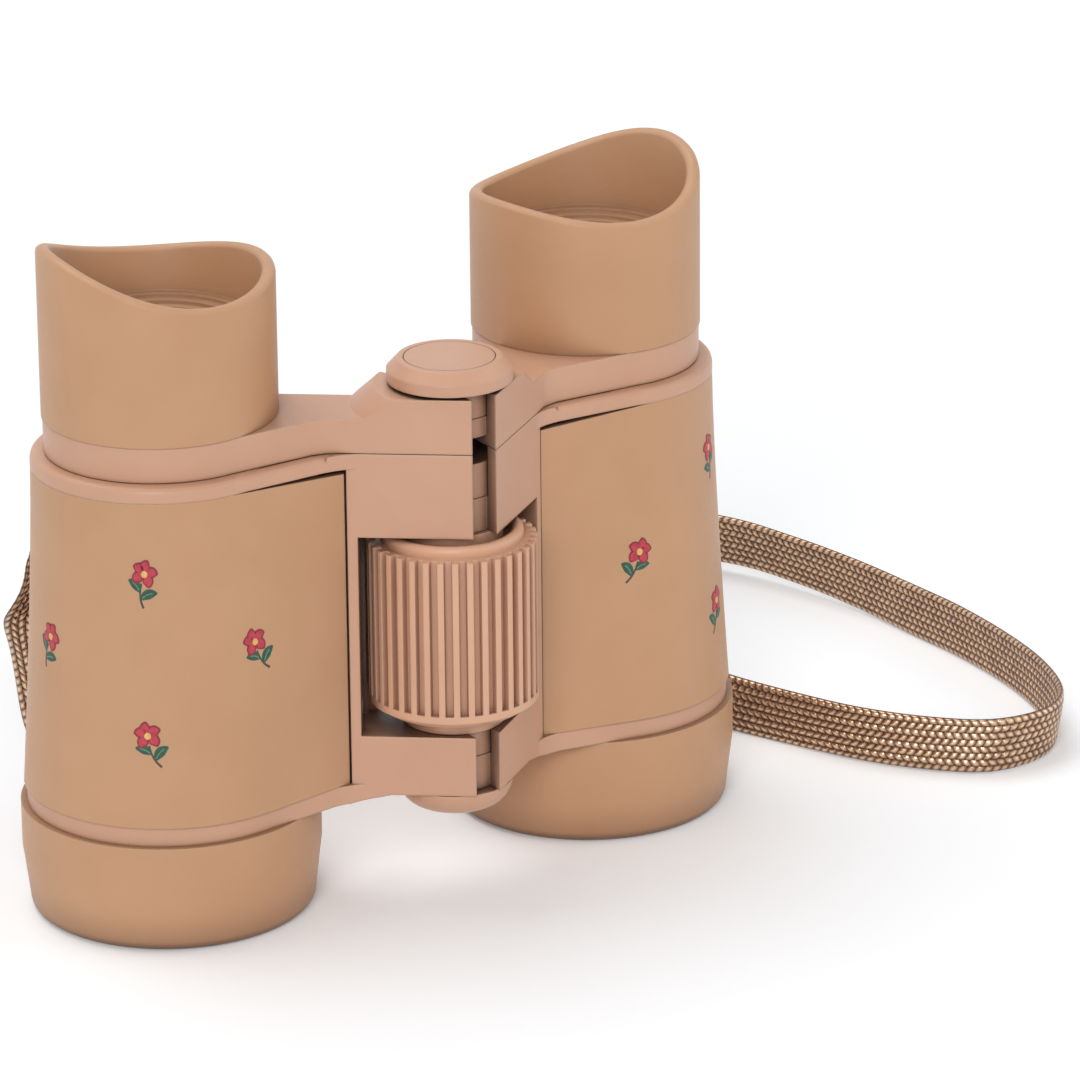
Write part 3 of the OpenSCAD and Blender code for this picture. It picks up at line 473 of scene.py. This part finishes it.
def make_strap():
    route = spline(np.array(STRAP_ROUTE) * MM, ROUTE_PARTS)
    turn = spline(np.array(STRAP_TURN)[:, None], ROUTE_PARTS)
    rows = spaced(np.hstack([route, turn]), STRAP_STEP)
    line = rows[:, :3]
    along = directions(line)
    along[0], along[-1] = (0, 1, 0), (0, -1, 0)
    up = np.array(UP) - along[:, 2:] * along
    up /= np.linalg.norm(up, axis=1)[:, None]
    side = np.cross(along, up)
    angle = np.radians(rows[:, 3:])
    wides = eased(np.cos(angle) * up + np.sin(angle) * side, along)
    strap = ribbon("neck_strap", line, wides, BRAID)
    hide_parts("strap")
    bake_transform(strap)
    for name, x, turned in (("left", -BARREL_X, 1), ("right", BARREL_X, -1)):
        loop = spaced(spline([(x / MM, y, z) for y, z in LOOP_LINE], LOOP_PARTS) * MM, STRAP_STEP)
        eye = ribbon(name + "_strap_eye", loop, np.tile((1.0, 0.0, 0.0), (len(loop), 1)), BRAID)
        seam = stitches(name + "_strap_stitches", line[::turned], along[::turned], wides[::turned])
        for piece in (eye, seam):
            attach(piece, name + "_half")


# CAD nodes
def dress_nodes():
    slots = {row["node"]: row["material_slot"] for row in frame["record"]["subparts"]}
    for name, node in frame["nodes"].items():
        if name == "strap":
            continue
        mesh = node.data
        mesh.materials.clear()
        mesh.materials.append(LIGHTENED_FINISH.get(name, FINISH[slots[name]]))
        if "custom_normal" in mesh.attributes:
            mesh.attributes.remove(mesh.attributes["custom_normal"])
        mesh.shade_smooth()
        weld = node.modifiers.new("weld", "WELD")
        weld.merge_threshold = WELD_GAP
        split = node.modifiers.new("split", "EDGE_SPLIT")
        split.split_angle = SHARP_TURN


def wheel_guard(side):
    """Wall behind the wheel, from the back of the web to where the halves are cut back for folding."""
    sign = 1 if side == "left" else -1
    corners = [(GUARD_R, GUARD_Z[0]), (GUARD_R + GUARD_WALL, GUARD_Z[0]),
               (GUARD_R + GUARD_WALL, GUARD_Z[1]), (GUARD_R, GUARD_Z[1])]
    points, faces = [], []
    for turn in np.radians(np.linspace(*GUARD_TURNS, GUARD_PARTS + 1)):
        points += [HINGE + Vector((sign * r * math.cos(turn), r * math.sin(turn), z)) for r, z in corners]
    for k in range(GUARD_PARTS):
        for a, b in ((0, 1), (1, 2), (2, 3), (3, 0)):
            face = (4 * k + a, 4 * k + b, 4 * k + 4 + b, 4 * k + 4 + a)
            faces.append(face[::sign])
    last = 4 * GUARD_PARTS
    faces += [(3, 2, 1, 0)[::sign], (last, last + 1, last + 2, last + 3)[::sign]]
    guard = new_mesh(side + "_wheel_guard", points, faces, SHELL)
    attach(guard, side + "_half")


# prints
def rotated(points, angle):
    """Points of a plane turned by the angle in degrees."""
    c, s = math.cos(math.radians(angle)), math.sin(math.radians(angle))
    return points @ np.array(((c, s), (-s, c)))


def leaf_strip(root, turn, size, share=1.0):
    """Middle line and half widths of a petal or leaf from its root, drawn in to its middle by the share."""
    length, width = size
    t = np.linspace(0.5 - share / 2, 0.5 + share / 2, PRINT_ROWS)
    bow = LEAF_BOW * length * np.sin(math.pi * t)
    line = np.stack([t * length, bow * math.copysign(1, math.cos(math.radians(turn)))], 1)
    along = np.linspace(LEAF_TIP, 1 - LEAF_TIP, PRINT_ROWS)
    half = share * width * np.sin(math.pi * along) ** LEAF_FULL
    return np.array(root) + rotated(line, turn), half


def sprig_strips():
    """Strips of one sprig with their layer and ink: a five-petalled flower over two leaves on a stem."""
    strips = []
    stem = spline(STEM, STEM_PARTS)
    strips.append((stem, np.linspace(*STEM_TAPER, len(stem)) * STEM_WIDTH, 1, STALK))
    for root, turn, size in LEAVES:
        line, half = leaf_strip(root, turn, size)
        strips.append((line, half, 2, LEAF))
        strips.append((line[1:-2], np.full(len(line) - 3, RIB_WIDTH), 3, RIB))
    for k in range(PETAL_COUNT):
        turn = 90 + k * 360 / PETAL_COUNT
        strips.append((*leaf_strip((0, 0), turn, PETAL_SIZE), 3, PETAL_EDGE))
        strips.append((*leaf_strip((0, 0), turn, PETAL_SIZE, PETAL_INNER), 4, PETAL))
    across = np.linspace(-HEART_REACH, HEART_REACH, PRINT_ROWS)
    heart = np.stack([across * HEART_R, 0 * across], 1)
    strips.append((heart, HEART_R * np.sqrt(1 - across ** 2), 5, HEART))
    return strips


def film_faces(rows, columns):
    """Faces of a closed film over a grid of points, with those of its underside listed after the grid."""
    count = rows * columns
    faces = []
    for i in range(rows - 1):
        for j in range(columns - 1):
            k = i * columns + j
            quad = (k, k + 1, k + columns + 1, k + columns)
            faces += [quad, tuple(count + corner for corner in reversed(quad))]
    first = list(range(columns))
    right = [k * columns + columns - 1 for k in range(1, rows)]
    last = [count - 2 - k for k in range(columns - 1)]
    left = [k * columns for k in range(rows - 2, 0, -1)]
    rim = first + right + last + left
    return faces + [(b, a, count + a, count + b) for a, b in zip(rim, rim[1:] + rim[:1])]


def print_panel(side):
    """Thin closed films of ink that follow the panel's surface."""
    panel = frame["nodes"][side + "_panel"].data
    tree = BVHTree.FromPolygons([v.co for v in panel.vertices], [f.vertices for f in panel.polygons])
    sign = -1 if side == "left" else 1
    axis = Vector((sign * BARREL_X, 0, 0))
    low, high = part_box(side + "_panel")
    far = high[1] - low[1]
    mean_r = far / 2
    spots = [(PRINT_FIRST + k * PRINT_STEP, z) for k in range(PRINT_COLUMNS) for z in PRINT_HEIGHTS[k % 2]]
    points, faces, inks = [], [], []
    for (angle, z), lean in zip(spots, PRINT_LEANS):
        for line, half, layer, which in sprig_strips():
            along = directions(line)
            normal = np.stack([-along[:, 1], along[:, 0]], 1)
            share = np.linspace(-1, 1, PRINT_SIDES + 1)
            grid = line[:, None] + share[None, :, None] * (half[:, None] * normal)[:, None]
            grid = rotated(grid, lean) * PRINT_SCALE * MM
            first = len(points)
            for lift in (layer * PRINT_LAYER, -PRINT_LAYER):
                for x, y in grid.reshape(-1, 2):
                    turn = math.radians(angle) + x / mean_r
                    out = Vector((-sign * math.cos(turn), math.sin(turn), 0))
                    start = axis + out * far + UP * (z * MM + y)
                    points.append(tree.ray_cast(start, -out)[0] + lift * out)
            shape = film_faces(*grid.shape[:2])
            faces += [tuple(first + k for k in face[::sign]) for face in shape]
            inks += [which] * len(shape)
    obj = new_mesh(side + "_print", points, faces)
    for material in INKS:
        obj.data.materials.append(material)
    obj.data.polygons.foreach_set("material_index", inks)
    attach(obj, side + "_half")


# stage
def sun(name, travel, strength, angle):
    data = bpy.data.lights.new(name, "SUN")
    data.energy = strength
    data.angle = math.radians(angle)
    obj = bpy.data.objects.new(name, data)
    obj.rotation_euler = Vector(travel).to_track_quat("-Z", "Y").to_euler()
    bpy.context.scene.collection.objects.link(obj)


def build_stage():
    n = Nodes("floor_white")
    sight = n.add("LightPath").outputs
    seen = n.math("MAXIMUM", sight["Is Camera Ray"],
                  n.math("MAXIMUM", sight["Is Glossy Ray"], sight["Is Transmission Ray"]))
    n.put(Base_Color=FLOOR_COLOUR, Roughness=0.9, Specular_IOR_Level=0.0,
          Emission_Color=(1, 1, 1, 1), Emission_Strength=n.math("MULTIPLY", seen, FLOOR_LIFT))
    half = FLOOR_SIZE / 2
    floor = new_mesh("floor", [(-half, -half, 0), (half, -half, 0), (half, half, 0), (-half, half, 0)],
                     [(0, 1, 2, 3)], n.material)
    world = bpy.data.worlds.new("studio")
    world.use_nodes = True
    tree = world.node_tree
    back = tree.nodes["Background"]
    back.inputs["Color"].default_value = (1, 1, 1, 1)
    path = tree.nodes.new("ShaderNodeLightPath")
    seen = path.outputs["Is Camera Ray"]
    for other in ("Is Glossy Ray", "Is Transmission Ray"):
        either = tree.nodes.new("ShaderNodeMath")
        either.operation = "MAXIMUM"
        tree.links.new(seen, either.inputs[0])
        tree.links.new(path.outputs[other], either.inputs[1])
        seen = either.outputs[0]
    level = tree.nodes.new("ShaderNodeMapRange")
    level.inputs["To Min"].default_value = WORLD_LEVEL
    level.inputs["To Max"].default_value = 1.0
    tree.links.new(seen, level.inputs["Value"])
    tree.links.new(level.outputs[0], back.inputs["Strength"])
    bpy.context.scene.world = world
    for row in SUNS:
        sun(*row)


place_camera()
make_strap()
dress_nodes()
for side in ("left", "right"):
    wheel_guard(side)
    print_panel(side)
build_stage()

bpy.context.scene.view_settings.view_transform = "Standard"
